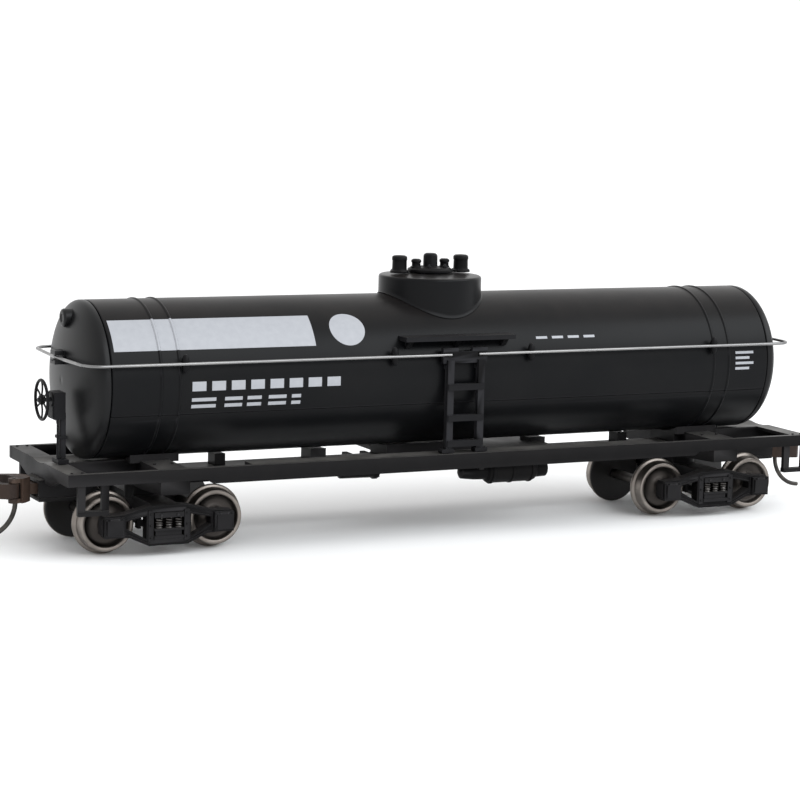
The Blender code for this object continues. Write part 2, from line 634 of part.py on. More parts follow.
# ---------------------------------------------------------------- trucks
def sideframe_outline():
    """Cast side frame seen from the side, as (along, height) about the truck's centre."""
    half = [(0, 8.75), (3.2, 8.7), (8.0, 7.5), (11.4, 7.3), (11.8, 6.7), (11.8, 4.2)]
    half += [(11.2, 3.65), (8.2, 3.6), (7.0, 3.5), (3.5, 1.9)]
    return half + [(-x, z) for x, z in half[:0:-1]]


def make_truck(end, sign):
    centre = sign * TRUCK_X
    swivel = pivot(f"{end}_truck_pivot", (centre, 0, AXLE_Z))
    beam = box((centre - BOLSTER_HALF, centre + BOLSTER_HALF), (-11.6, 11.6), (6.4, 8.6))
    parts = [lathe([(8.0, 3.1), (CENTRE_PLATE_TOP, 3.1)], "Z", 24, (centre, 0))]
    cuts = [rod("Z", 4, 12, SCREW_R + RUNNING, (centre, 0), 16)]
    for side in (-1, 1):
        inner, outer = SIDEFRAME_IN, SIDEFRAME_OUT
        frame = plate_xz([(centre + x, z) for x, z in sideframe_outline()], inner, outer)
        parts.append(mirrored(frame, y=side < 0))
        for x in (-1, 1):
            window = [(3.9, 7.2), (7.6, 6.4), (7.6, 5.0), (3.9, 2.9)]
            hole = plate_xz([(centre + x * a, z) for a, z in window], inner - 1, outer + 1)
            cuts.append(mirrored(hole, y=side < 0))
            middle = centre + x * WHEELBASE / 2
            journal = box((middle - 1.75, middle + 1.75), (outer - 0.4, JOURNAL_OUT), (3.75, 7.15))
            lid = box((middle - 1.35, middle + 1.35), (JOURNAL_OUT - 0.2, JOURNAL_OUT + 0.25), (4.1, 6.7))
            parts += [mirrored(journal, y=side < 0), mirrored(lid, y=side < 0)]
            cone = [(y + RUNNING, r + RUNNING) for y, r in AXLE_CONE]
            cone = lathe([(inner - 0.7, cone[0][1])] + cone + [(cone[-1][0], 0)], "Y", 16, (AXLE_Z, middle))
            cuts.append(mirrored(cone, y=side < 0))
        slot = box((centre - 2.75, centre + 2.75), (12.3, outer + 1), (3.0, 7.6))
        cuts.append(mirrored(slot, y=side < 0))
    place = (centre, 0, AXLE_Z)
    build(f"{end}_truck_frame", FRAME_BLACK, beam, add=parts, cut=cuts, origin=place, parent=swivel)

    screw = lathe([(5.4, SCREW_HEAD_R - 0.4), (5.6, SCREW_HEAD_R), (6.3, SCREW_HEAD_R), (6.3, SCREW_R),
                   (13.8, SCREW_R), (13.8, 0)], "Z", 20, (centre, 0))
    groove = box((centre - 2, centre + 2), (-0.25, 0.25), (5, 5.75))
    build(f"{end}_truck_screw", STEEL, screw, cut=[groove], origin=place)

    for axle, offset in (("outer", sign), ("inner", -sign)):
        x = centre + offset * WHEELBASE / 2
        spin = pivot(f"{end}_{axle}_wheelset_pivot", (x, 0, AXLE_Z))
        hang(spin, swivel)
        make_wheelset(f"{end}_{axle}", x, spin, swivel)


def make_wheelset(prefix, x, spin, swivel):
    half = [(0, 0.95), (6.6, 0.95), (7.0, AXLE_R), *AXLE_CONE, (AXLE_CONE[-1][0], 0)]
    profile = [(-y, r) for y, r in half[:0:-1]] + half[1:]
    origin = (x, 0, AXLE_Z)
    axle = build(f"{prefix}_axle", STEEL, lathe(profile, "Y", 12, (AXLE_Z, x)), origin=origin)
    outer, inner = WHEEL_OUTER_Y, WHEEL_OUTER_Y - WHEEL_WIDTH
    section = [(inner, AXLE_R + 0.05), (inner, FLANGE_R - 0.25), (inner + 0.3, FLANGE_R),
               (inner + 0.65, FLANGE_R - 0.15), (inner + 0.95, TREAD_R + 0.05),
               (outer - 0.25, TREAD_R - 0.05), (outer, TREAD_R - 0.25), (outer, TREAD_R - 0.75),
               (outer - 0.9, 3.3), (outer - 0.1, 1.5), (outer - 0.1, AXLE_R + 0.05)]
    wheels = []
    for side, sign in (("near", -1), ("far", 1)):
        wheel = lathe([(sign * y, r) for y, r in section], "Y", 20, (AXLE_Z, x), ring=True)
        wheels.append(build(f"{prefix}_wheel_{side}", NICKEL, wheel, origin=origin))
    for obj in [axle] + wheels:
        obj.parent = spin
        obj.location = obj.location - spin.location - swivel.location


def main():
    for obj in list(bpy.data.objects):
        bpy.data.objects.remove(obj)
    make_barrel()
    make_tank_ends()
    make_dome()
    make_dome_fittings()
    make_dome_steps()
    make_ladders()
    make_handrails()
    make_stanchions()
    make_underframe()
    make_weight()
    make_brake_gear()
    make_brake_wheel()
    for end, sign in (("brake_end", -1), ("plain_end", 1)):
        make_coupler(end, sign)
        make_truck(end, sign)


main()
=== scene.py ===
"""Looks of the HO-scale single-dome tank wagon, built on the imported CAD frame."""
import math

import bmesh
import bpy
from mathutils import Matrix, Vector


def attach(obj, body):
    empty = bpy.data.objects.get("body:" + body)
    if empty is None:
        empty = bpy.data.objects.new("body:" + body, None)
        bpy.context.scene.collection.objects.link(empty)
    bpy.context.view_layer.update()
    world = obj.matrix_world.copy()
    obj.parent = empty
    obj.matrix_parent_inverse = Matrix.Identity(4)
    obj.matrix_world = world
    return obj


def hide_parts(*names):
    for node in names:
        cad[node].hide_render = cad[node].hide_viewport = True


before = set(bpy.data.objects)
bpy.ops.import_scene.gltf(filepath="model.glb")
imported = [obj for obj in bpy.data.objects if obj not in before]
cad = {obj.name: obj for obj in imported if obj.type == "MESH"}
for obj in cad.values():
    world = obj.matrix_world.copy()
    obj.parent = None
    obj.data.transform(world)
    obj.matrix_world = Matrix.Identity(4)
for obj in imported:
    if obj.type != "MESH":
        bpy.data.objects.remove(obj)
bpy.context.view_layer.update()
MM = 0.001
ENDS = (("brake_end", -1), ("plain_end", 1))

# the part's own sizes, in millimetres: X along the wagon, Y across it, Z up from the flange bottoms
GAP = 0.1               # air between pieces that are glued or rest together
TANK_Z = 28.75          # height of the tank's axis
TANK_R = 13.55
TANK_WALL = 1.0
BARREL_HALF = 65.1
END_FLANGE = 0.7        # straight rim of a tank end
END_DEPTH = 3.6         # dish of a tank end
SEAM_ANGLE = math.radians(-21)      # where the top and bottom shells meet
STRAP_X = 54.8          # a strap goes round the tank over each truck
STRAP_HALF = 1.65       # from a strap's middle to each of its two ridges
STRAP_RISE = 0.2
RIDGE_TOP = 0.12        # half width of a ridge's flat top
RIDGE_FOOT = 0.28       # and of its foot
RIDGE_STEPS = (-RIDGE_FOOT, -0.2, -RIDGE_TOP, RIDGE_TOP, 0.2, RIDGE_FOOT)   # points across a ridge
DOME_R = 9.3
DOME_TOP = 45.5
VALVE_X = 6.2
RAIL_Z = 32.7
RAIL_Y = 14.6
RAIL_END_X = 69.9
WIRE_R = 0.28
POST_X = (-52.5, -13.6, 13.6, 52.5)
TRUCK_X = 54.8
WHEELBASE = 19.6
AXLE_Z = 5.45
WHEEL_BACK = 7.25       # inner face of a wheel, from the wagon's middle
DISH_SHADE_RADIUS = 3.95        # inside of a wheel's rim; the dished middle within it gets painted shade
SIDE_FACE = 13.1        # outer face of a truck's side frame
SILL_TOP = 15.25
FRAME_Y = 16.2
BRAKE_Y = -4.6
BRAKE_WHEEL_X = -74.4
BRAKE_WHEEL_Z = 26.2
BRAKE_WHEEL_R = 3.3
COUPLER_Z = 10.58
TRIP_X = 77.5           # the curved uncoupling pin below each coupler
TRIP_Y = 0.1
TRIP_R = 0.42
RESERVOIR_AXIS = (-6.4, 10.1)       # (y, z) of the air reservoir under the frame
CYLINDER_AXIS = (6.6, 9.9)          # and of the brake cylinder
INK_OVER = 0.012        # printed marks stand this far out of the tank
INK_UNDER = 0.02        # and reach this far into it

# what the surfaces share
INK_STEP = 1.5                      # degrees between the points round an ink film
SHARP = math.radians(38)            # edges over this angle are rounded and stay sharp in shading
NOISE_SPAN = (0.3, 0.7)             # most of a noise texture's values lie between these
DISH_SHADE = (0.045, 0.040, 0.037)   # painted shade on a wheel's dished middle
BACK_FACE_DARK = (0.012, 0.011, 0.011)   # a wheel's back face: dark and not metallic


# ---------------------------------------------------------------- materials
def noise(tree, place, scale, detail=3.0, stretch=None):
    """Noise over the piece, in lumps of about 1 / scale metres; stretch scales each axis first."""
    if stretch:
        spread = tree.nodes.new("ShaderNodeMapping")
        spread.inputs["Scale"].default_value = stretch
        tree.links.new(place, spread.inputs["Vector"])
        place = spread.outputs["Vector"]
    made = tree.nodes.new("ShaderNodeTexNoise")
    made.inputs["Scale"].default_value = scale
    made.inputs["Detail"].default_value = detail
    tree.links.new(place, made.inputs["Vector"])
    return made.outputs["Fac"]


def ranged(tree, value, low, high, to_low=0.0, to_high=1.0):
    """Value between low and high, stretched to run from to_low to to_high."""
    made = tree.nodes.new("ShaderNodeMapRange")
    for socket, number in (("From Min", low), ("From Max", high), ("To Min", to_low), ("To Max", to_high)):
        made.inputs[socket].default_value = number
    tree.links.new(value, made.inputs["Value"])
    return made.outputs["Result"]


def mixed(tree, factor, first, second):
    """Colour between first and second, each a colour or another node's output."""
    made = tree.nodes.new("ShaderNodeMix")
    made.data_type = "RGBA"
    tree.links.new(factor, made.inputs["Factor"])
    for name, colour in (("A", first), ("B", second)):
        socket = [one for one in made.inputs if one.name == name and one.type == "RGBA"][0]
        if isinstance(colour, tuple):
            socket.default_value = (*colour, 1)
        else:
            tree.links.new(colour, socket)
    return [one for one in made.outputs if one.type == "RGBA"][0]


def distance_across(tree, place):
    """Distance from the wagon's middle plane, measured across it."""
    apart = tree.nodes.new("ShaderNodeSeparateXYZ")
    tree.links.new(place, apart.inputs[0])
    across = tree.nodes.new("ShaderNodeMath")
    across.operation = "ABSOLUTE"
    tree.links.new(apart.outputs["Y"], across.inputs[0])
    return across.outputs[0]


def new_look(name, dark, light, rough, ior=1.45, metallic=0.0, grain=700, pits=2600, relief=0.012,
             worn=None, upward_dust_and_highlight=None, upward_dust_and_highlight_amount=0.5, stretch=None, centre=None, dull_below=None):
    """A moulded or metal surface: two tones in soft lumps, uneven gloss, fine relief, and, where they
    are given, a worn tone on sharp edges, a dusting and a painted highlight on upward faces, a wheel's
    turning marks and painted shade on its dished middle about its centre, and a dark non-metal part
    nearer the middle of the wagon than dull_below."""
    look = bpy.data.materials.new(name)
    look.use_nodes = True
    tree = look.node_tree
    shader = tree.nodes["Principled BSDF"]
    shader.inputs["Metallic"].default_value = metallic
    shader.inputs["IOR"].default_value = ior
    place = tree.nodes.new("ShaderNodeTexCoord").outputs["Object"]
    if centre:
        spread = tree.nodes.new("ShaderNodeMapping")
        spread.inputs["Location"].default_value = [-part * MM for part in centre]
        tree.links.new(place, spread.inputs["Vector"])
        flat = tree.nodes.new("ShaderNodeVectorMath")
        flat.operation = "MULTIPLY"
        flat.inputs[1].default_value = (1, 0, 1)
        tree.links.new(spread.outputs["Vector"], flat.inputs[0])
        reach = tree.nodes.new("ShaderNodeVectorMath")
        reach.operation = "LENGTH"
        tree.links.new(flat.outputs[0], reach.inputs[0])
        rings = tree.nodes.new("ShaderNodeTexNoise")
        rings.noise_dimensions = "1D"
        rings.inputs["Scale"].default_value = pits
        tree.links.new(reach.outputs["Value"], rings.inputs["W"])
        fine = rings.outputs["Fac"]
    else:
        fine = noise(tree, place, pits, 2.0, stretch)
    soft = noise(tree, place, grain, 4.0, stretch)
    colour = mixed(tree, ranged(tree, soft, *NOISE_SPAN), dark, light)
    if centre:
        # painted shade: inside its rim the wheel's dished middle is mixed toward a darker tone
        rim = ranged(tree, reach.outputs["Value"], (DISH_SHADE_RADIUS - 0.15) * MM, (DISH_SHADE_RADIUS + 0.05) * MM)
        colour = mixed(tree, rim, DISH_SHADE, colour)
    if upward_dust_and_highlight:
        # upward faces get a lighter tone: partly a dusting, partly a painted highlight where tops catch the
        # light
        up = tree.nodes.new("ShaderNodeSeparateXYZ")
        tree.links.new(tree.nodes.new("ShaderNodeNewGeometry").outputs["Normal"], up.inputs[0])
        dust_and_highlight_mask = tree.nodes.new("ShaderNodeMath")
        dust_and_highlight_mask.operation = "MULTIPLY"
        tree.links.new(ranged(tree, up.outputs["Z"], 0.55, 1.0, 0.0, upward_dust_and_highlight_amount), dust_and_highlight_mask.inputs[0])
        uneven = ranged(tree, noise(tree, place, 260, 5.0), *NOISE_SPAN, 0.5, 1.0)
        tree.links.new(uneven, dust_and_highlight_mask.inputs[1])
        colour = mixed(tree, dust_and_highlight_mask.outputs[0], colour, upward_dust_and_highlight)
    if worn:
        edge = tree.nodes.new("ShaderNodeNewGeometry").outputs["Pointiness"]
        colour = mixed(tree, ranged(tree, edge, 0.53, 0.64, 0.0, 0.7), colour, worn)
    if dull_below:
        across = distance_across(tree, place)
        bright = ranged(tree, across, (dull_below - 0.05) * MM, (dull_below + 0.05) * MM)
        colour = mixed(tree, bright, BACK_FACE_DARK, colour)
        tree.links.new(bright, shader.inputs["Metallic"])
    tree.links.new(colour, shader.inputs["Base Color"])
    gloss = noise(tree, place, grain * 0.35, 3.0, stretch)
    tree.links.new(ranged(tree, gloss, *NOISE_SPAN, *rough), shader.inputs["Roughness"])
    bump = tree.nodes.new("ShaderNodeBump")
    bump.inputs["Strength"].default_value = 0.35
    bump.inputs["Distance"].default_value = relief * MM
    tree.links.new(fine, bump.inputs["Height"])
    tree.links.new(bump.outputs["Normal"], shader.inputs["Normal"])
    return look


# Upward faces below get a lighter tone, partly a dusting and partly a painted highlight; on the tank it
# stands in for the warm reflection along the top
TANK = new_look("satin_black_tank", (0.0026, 0.0029, 0.0036), (0.0044, 0.0045, 0.0050), (0.30, 0.40),
                ior=1.21, grain=90, pits=2200, relief=0.006, upward_dust_and_highlight=(0.024, 0.020, 0.018),
                worn=(0.016, 0.016, 0.018))
# The tank ends take a lighter, glossier copy of the tank's black: painted light for their brighter look
LIGHTER_TANK_END = new_look("satin_black_tank_end_painted_lighter", (0.0036, 0.0038, 0.0044), (0.0058, 0.0058, 0.0062), (0.32, 0.42),
                    ior=1.28, grain=90, pits=2200, relief=0.006, worn=(0.018, 0.018, 0.020))
FITTING = new_look("black_moulded_fittings", (0.0026, 0.0026, 0.0030), (0.0048, 0.0046, 0.0050), (0.34, 0.46),
                   ior=1.17, grain=420, pits=3600, upward_dust_and_highlight=(0.034, 0.031, 0.030), worn=(0.026, 0.026, 0.029))
# The underframe's tone on upward faces is far lighter than its black: chiefly a painted highlight on the lit
# sill tops, partly a dusting
FRAME = new_look("black_moulded_underframe", (0.0020, 0.0019, 0.0022), (0.0038, 0.0035, 0.0037), (0.36, 0.50),
                 ior=1.17, grain=300, pits=3000, relief=0.016, upward_dust_and_highlight=(0.135, 0.130, 0.122), upward_dust_and_highlight_amount=0.85,
                 worn=(0.026, 0.025, 0.026))
TRUCK = new_look("black_moulded_trucks", (0.0028, 0.0027, 0.0031), (0.0056, 0.0052, 0.0056), (0.38, 0.55),
                 ior=1.18, grain=500, pits=2600, relief=0.03, upward_dust_and_highlight=(0.060, 0.056, 0.055), upward_dust_and_highlight_amount=0.6,
                 worn=(0.036, 0.035, 0.037))
SPRING = new_look("blackened_spring_wire", (0.035, 0.033, 0.032), (0.10, 0.094, 0.090), (0.24, 0.40),
                  metallic=1.0, grain=900, pits=4000, relief=0.006)
WIRE = new_look("drawn_steel_wire", (0.16, 0.16, 0.164), (0.29, 0.286, 0.282), (0.22, 0.38), metallic=1.0,
                grain=500, pits=3500, relief=0.006, stretch=(0.08, 1, 1))
PIN = new_look("blackened_steel_pin", (0.030, 0.028, 0.027), (0.070, 0.064, 0.058), (0.30, 0.46),
               metallic=0.8, grain=900, pits=4000, relief=0.006)
COUPLER = new_look("brown_cast_coupler", (0.0105, 0.0066, 0.0058), (0.0200, 0.0126, 0.0103), (0.42, 0.60),
                   ior=1.27, grain=800, pits=2400, relief=0.03, worn=(0.075, 0.050, 0.038))
STEEL = new_look("bright_turned_steel", (0.30, 0.29, 0.28), (0.46, 0.44, 0.42), (0.25, 0.4), metallic=1.0,
                 grain=600, pits=3800)
BALLAST = new_look("rolled_steel_weight", (0.22, 0.22, 0.23), (0.34, 0.34, 0.34), (0.4, 0.55), metallic=1.0,
                   grain=200, pits=1500, stretch=(0.1, 1, 1))
PRINT = new_look("white_ink", (0.305, 0.315, 0.34), (0.33, 0.34, 0.365), (0.42, 0.55), grain=900,
                 pits=5000, relief=0.004)


# ---------------------------------------------------------------- shapes: (vertices, faces) in millimetres
def box(x, y, z):
    """Block between two values on each axis."""
    verts = [(a, b, c) for a in x for b in y for c in z]
    faces = [(0, 1, 3, 2), (4, 6, 7, 5), (0, 4, 5, 1), (2, 3, 7, 6), (0, 2, 6, 4), (1, 5, 7, 3)]
    return verts, faces


def on_axis(axis, along, p, q):
    """Point with its coordinate along an axis, and the two across it in cyclic order."""
    return {"X": (along, p, q), "Y": (q, along, p), "Z": (p, q, along)}[axis]


def skin(rows, closed_rows=False, cap=True):
    """Faces over rows of points that all run round the same way."""
    count = len(rows[0])
    verts = [point for row in rows for point in row]
    pairs = list(zip(range(len(rows)), range(1, len(rows))))
    if closed_rows:
        pairs.append((len(rows) - 1, 0))
    faces = []
    for a, b in pairs:
        for i in range(count):
            j = (i + 1) % count
            faces.append((a * count + i, a * count + j, b * count + j, b * count + i))
    if cap and not closed_rows:
        faces += [tuple(range(count)), tuple(range((len(rows) - 1) * count, len(rows) * count))]
    return verts, faces


def lathe(profile, axis, centre=(0, 0), segments=48, ring=False):
    """Profile of (along, radius) points turned about an axis through centre (p, q)."""
    rows = []
    for along, radius in profile:
        turns = [2 * math.pi * i / segments for i in range(segments)]
        rows.append([on_axis(axis, along, centre[0] + radius * math.cos(t), centre[1] + radius * math.sin(t))
                     for t in turns])
    return skin(rows, closed_rows=ring)


def rod(axis, low, high, radius, centre, segments=24):
    """Round bar between two places along an axis."""
    return lathe([(low, radius), (high, radius)], axis, centre, segments)


def tube(points, radius, sides=14):
    """Round wire along the points, with flat ends."""
    path = [Vector(point) for point in points]
    rows = []
    side = None
    for i, point in enumerate(path):
        ahead = (path[min(i + 1, len(path) - 1)] - path[max(i - 1, 0)]).normalized()
        if side is None:
            side = ahead.orthogonal().normalized()
        side = (side - ahead * side.dot(ahead)).normalized()
        over = ahead.cross(side)
        rows.append([tuple(point + radius * (side * math.cos(t) + over * math.sin(t)))
                     for t in (2 * math.pi * k / sides for k in range(sides))])
    return skin(rows)


def ring_plate(outline, width, low, high):
    """Raised rim of one width just inside a closed (x, z) outline that runs either way round."""
    count = len(outline)
    area = sum(outline[i][0] * outline[(i + 1) % count][1] - outline[(i + 1) % count][0] * outline[i][1]
               for i in range(count))
    turn = 1 if area > 0 else -1
    inner = []
    for i in range(count):
        here = Vector(outline[i])
        before = (here - Vector(outline[i - 1])).normalized()
        after = (Vector(outline[(i + 1) % count]) - here).normalized()
        inward = Vector((-(before.y + after.y), before.x + after.x)) * turn
        inward.normalize()
        reach = width / max(0.5, Vector((-after.y, after.x)).dot(inward) * turn)
        inner.append(tuple(here + inward * reach))
    rows = [[(x, low, z) for x, z in outline], [(x, high, z) for x, z in outline],
            [(x, high, z) for x, z in inner], [(x, low, z) for x, z in inner]]
    return skin(rows, closed_rows=True)


def joined(*shapes):
    """Several shapes as one."""
    verts, faces = [], []
    for some_verts, some_faces in shapes:
        start = len(verts)
        verts += some_verts
        faces += [tuple(start + i for i in face) for face in some_faces]
    return verts, faces


def flipped(shape, x=1, y=1):
    """The shape with its X or Y reversed where a -1 is given."""
    return [(a * x, b * y, c) for a, b, c in shape[0]], shape[1]


# ---------------------------------------------------------------- pieces
def smoothing():
    """Geometry nodes that shade faces smooth and keep only the sharp edges."""
    group = bpy.data.node_groups.new("smooth_by_angle", "GeometryNodeTree")
    group.interface.new_socket("Geometry", in_out="INPUT", socket_type="NodeSocketGeometry")
    group.interface.new_socket("Geometry", in_out="OUTPUT", socket_type="NodeSocketGeometry")
    way_in = group.nodes.new("NodeGroupInput")
    way_out = group.nodes.new("NodeGroupOutput")
    plain = group.nodes.new("GeometryNodeRemoveAttribute")
    plain.inputs["Name"].default_value = "custom_normal"
    faces = group.nodes.new("GeometryNodeSetShadeSmooth")
    faces.domain = "FACE"
    edges = group.nodes.new("GeometryNodeSetShadeSmooth")
    edges.domain = "EDGE"
    edges.inputs["Shade Smooth"].default_value = False
    angle = group.nodes.new("GeometryNodeInputMeshEdgeAngle")
    limit = group.nodes.new("FunctionNodeCompare")
    limit.operation = "GREATER_THAN"
    limit.inputs[1].default_value = SHARP
    links = group.links
    links.new(angle.outputs["Unsigned Angle"], limit.inputs[0])
    links.new(limit.outputs[0], edges.inputs["Selection"])
    for first, second in ((way_in, plain), (plain, faces), (faces, edges), (edges, way_out)):
        links.new(first.outputs[0], second.inputs[0])
    return group


SMOOTH = smoothing()


def soften(piece, width, weld=False):
    """Rounds the hard edges by width millimetres and shades the rest smooth."""
    if weld:
        piece.modifiers.new("weld", "WELD").merge_threshold = 0.001 * MM
        flat = piece.modifiers.new("flat_faces", "DECIMATE")
        flat.decimate_type = "DISSOLVE"
        flat.angle_limit = math.radians(1)
    if width:
        bevel = piece.modifiers.new("edges", "BEVEL")
        bevel.width = width * MM
        bevel.segments = 2
        bevel.limit_method = "ANGLE"
        bevel.angle_limit = SHARP
    piece.modifiers.new("smooth", "NODES").node_group = SMOOTH
    piece.modifiers.new("even", "WEIGHTED_NORMAL").keep_sharp = True


def add_piece(name, shape, look, body, stands_for=(), edge=0.06):
    """Visible piece on a body, in place of the CAD nodes that it stands for."""
    mesh = bpy.data.meshes.new(name)
    mesh.from_pydata([Vector(point) * MM for point in shape[0]], [], shape[1])
    work = bmesh.new()
    work.from_mesh(mesh)
    bmesh.ops.remove_doubles(work, verts=work.verts[:], dist=0.0005 * MM)
    bmesh.ops.recalc_face_normals(work, faces=work.faces[:])
    work.to_mesh(mesh)
    work.free()
    piece = bpy.data.objects.new(name, mesh)
    bpy.context.collection.objects.link(piece)
    mesh.materials.append(look)
    soften(piece, edge)
    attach(piece, body)
    if stands_for:
        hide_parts(*stands_for)
    return piece


def dress(look, edge, *names):
    """A CAD node whose shape is right keeps it and gets the finished surface."""
    for name in names:
        node = cad[name]
        for slot in node.material_slots:
            slot.material = look
        soften(node, edge, weld=True)


# ---------------------------------------------------------------- tank
def shell_radius(x):
    """Outside radius of the barrel, with the two narrow ridges of each strap standing up from it."""
    off_ridge = abs(abs(abs(x) - STRAP_X) - STRAP_HALF)
    lift = min(1.0, max(0.0, (RIDGE_FOOT - off_ridge) / (RIDGE_FOOT - RIDGE_TOP)))
    return TANK_R + STRAP_RISE * lift * lift * (3 - 2 * lift)


def round_tank(x, turn, radius):
    """Point on the tank at an angle above the near side's level."""
    return (x, -radius * math.cos(turn), TANK_Z + radius * math.sin(turn))


def make_barrel():
    """Top and bottom shells, each one profile swept about the tank's axis."""
    places = [-BARREL_HALF, -BARREL_HALF + 0.08, -BARREL_HALF + 0.25]
    for middle in (-STRAP_X, STRAP_X):
        for edge in (-STRAP_HALF, STRAP_HALF):
            places += [middle + edge + step for step in RIDGE_STEPS]
    places += [BARREL_HALF - 0.25, BARREL_HALF - 0.08, BARREL_HALF]
    ease = {0: 0.22, 1: 0.06, len(places) - 2: 0.06, len(places) - 1: 0.22}
    outer = [(x, shell_radius(x) - ease.get(i, 0)) for i, x in enumerate(places)]
    inner = TANK_R - TANK_WALL
    profile = outer + [(BARREL_HALF, inner), (-BARREL_HALF, inner)]
    seam = GAP / 2 / TANK_R
    halves = (("tank_top_shell", SEAM_ANGLE + seam, math.pi - SEAM_ANGLE - seam, 120),
              ("tank_bottom_shell", math.pi - SEAM_ANGLE + seam, 2 * math.pi + SEAM_ANGLE - seam, 72))
    for name, first, last, steps in halves:
        turns = [first + (last - first) * i / steps for i in range(steps + 1)]
        rows = [[round_tank(x, turn, radius) for x, radius in profile] for turn in turns]
        add_piece(f"{name}_moulding", skin(rows), TANK, "wagon", (name,), edge=0.05)


def end_shape(sign):
    """Dished end with the clip that holds the handrail, and at the brake end a round boss."""
    rim = BARREL_HALF + GAP
    outer = [(rim, TANK_R - 0.2), (rim + 0.08, TANK_R - 0.05), (rim + 0.2, TANK_R),
             (rim + END_FLANGE, TANK_R)]
    steps = 18
    for i in range(1, steps + 1):
        turn = math.pi / 2 * i / steps
        outer.append((rim + END_FLANGE + END_DEPTH * math.sin(turn), max(0.02, TANK_R * math.cos(turn))))
    inner = [(rim + END_FLANGE + (END_DEPTH - 0.9) * math.sin(math.pi / 2 * i / 10),
              max(0.02, (TANK_R - TANK_WALL) * math.cos(math.pi / 2 * i / 10))) for i in range(10, -1, -1)]
    inner.append((rim, TANK_R - TANK_WALL))
    dish = lathe(outer + inner, "X", (0, TANK_Z), 128, ring=True)
    apex = rim + END_FLANGE + END_DEPTH
    root = box((apex - 0.9, apex + 0.15), (-1.25, 1.25), (RAIL_Z - 1.15, RAIL_Z + 1.15))
    lips = [box((apex - 0.1, apex + 1.55), (-1.25, 1.25), sorted((RAIL_Z + up * 0.42, RAIL_Z + up * 1.15)))
            for up in (-1, 1)]
    nose = box((apex + 1.3, apex + 1.55), (-0.5, 0.5), (RAIL_Z - 0.7, RAIL_Z - 0.36))
    shapes = [dish, root, nose] + lips
    if sign < 0:
        boss = [(65.9, 1.6), (68.9, 1.6), (69.15, 1.5), (69.3, 1.25), (69.3, 0.75), (69.15, 0.65),
                (69.15, 0.02)]
        shapes.append(lathe(boss, "X", (-0.5, TANK_Z + 10.5), 40))
        shapes = [flipped(shape, x=-1, y=-1) for shape in shapes]
    return joined(*shapes)


def make_ends():
    for name, sign in (("tank_end_brake", -1), ("tank_end_plain", 1)):
        add_piece(f"{name}_moulding", end_shape(sign), LIGHTER_TANK_END, "wagon", (name,), edge=0.07)


def make_dome():
    """Upright drum on the barrel, with a small fillet that follows the barrel's curve."""
    segments = 128
    skirt = [(8.3, 0.1), (9.55, 0.1), (9.58, 0.15), (9.48, 0.22), (9.38, 0.36), (9.31, 0.7)]
    wall = [(DOME_R, DOME_TOP - 0.5), (DOME_R - 0.04, DOME_TOP - 0.28), (DOME_R - 0.14, DOME_TOP - 0.12),
            (DOME_R - 0.35, DOME_TOP), (7.4, DOME_TOP + 0.14), (4.6, DOME_TOP + 0.35), (0.02, DOME_TOP + 0.4)]
    turns = [2 * math.pi * i / segments for i in range(segments)]

    def on_barrel(radius, turn, rise):
        y = radius * math.sin(turn)
        return (radius * math.cos(turn), y, TANK_Z + math.sqrt((TANK_R + rise) ** 2 - y * y))

    rows = [[on_barrel(radius, turn, rise) for turn in turns] for radius, rise in skirt]
    rows += [[(radius * math.cos(turn), radius * math.sin(turn), z) for turn in turns] for radius, z in wall]
    rows += [[(radius * math.cos(turn), radius * math.sin(turn), DOME_TOP - 1) for turn in turns]
             for radius in (0.02, 8.3)]
    add_piece("dome_moulding", skin(rows, closed_rows=True), TANK, "wagon", ("dome",),
              edge=0.05)


def make_dome_fittings():
    """Manway plate with its cap, two knobs and six nuts, and a safety valve on each side of it."""
    floor = DOME_TOP + 0.5
    plate = [(floor, 0.02), (floor, 4.05), (floor + 0.12, 4.1), (floor + 0.5, 4.1), (floor + 0.62, 4.0),
             (floor + 0.72, 3.72), (floor + 0.9, 3.6), (floor + 0.9, 1.75), (floor + 1.05, 1.5)]
    cap = [(floor + 1.05, 1.3), (floor + 2.9, 1.28), (floor + 3.2, 1.16), (floor + 3.4, 0.85),
           (floor + 3.4, 0.02)]
    shapes = [lathe(plate + cap, "Z", segments=64)]
    for side in (-1, 1):
        knob = [(floor + 0.7, 0.95), (floor + 1.0, 0.95), (floor + 1.15, 0.8), (floor + 1.7, 0.78),
                (floor + 1.85, 0.93), (floor + 2.2, 0.9), (floor + 2.4, 0.6), (floor + 2.4, 0.02)]
        shapes.append(lathe(knob, "Z", (2.85 * side, 0), 32))
    for i in range(6):
        turn = math.radians(30 + 60 * i)
        place = (3.1 * math.sin(turn), 3.1 * math.cos(turn))
        shapes.append(rod("Z", floor + 0.7, floor + 1.3, 0.42, place, 6))
        shapes.append(rod("Z", floor + 1.1, floor + 1.55, 0.2, place, 12))
    add_piece("manway_cover_moulding", joined(*shapes), FITTING, "wagon", ("manway_cover",))
    seat = DOME_TOP + 0.45
    body = [(seat, 1.7), (seat + 0.3, 1.7), (seat + 0.4, 1.62), (seat + 0.48, 1.4), (seat + 0.8, 1.33),
            (seat + 2.2, 1.3), (seat + 2.28, 1.38), (seat + 2.75, 1.38), (seat + 2.95, 1.28),
            (seat + 3.1, 1.0), (seat + 3.1, 0.5), (seat + 3.0, 0.42), (seat + 3.0, 0.02)]
    for name, sign in (("safety_valve_brake_side", -1), ("safety_valve_plain_side", 1)):
        shapes = [lathe(body, "Z", (VALVE_X * sign, 0), 48)]
        for i in range(4):
            turn = math.radians(45 + 90 * i)
            place = (VALVE_X * sign + 1.5 * math.cos(turn), 1.5 * math.sin(turn))
            shapes.append(rod("Z", seat + 0.2, seat + 0.55, 0.16, place, 6))
        add_piece(f"{name}_moulding", joined(*shapes), FITTING, "wagon", (name,), edge=0.04)


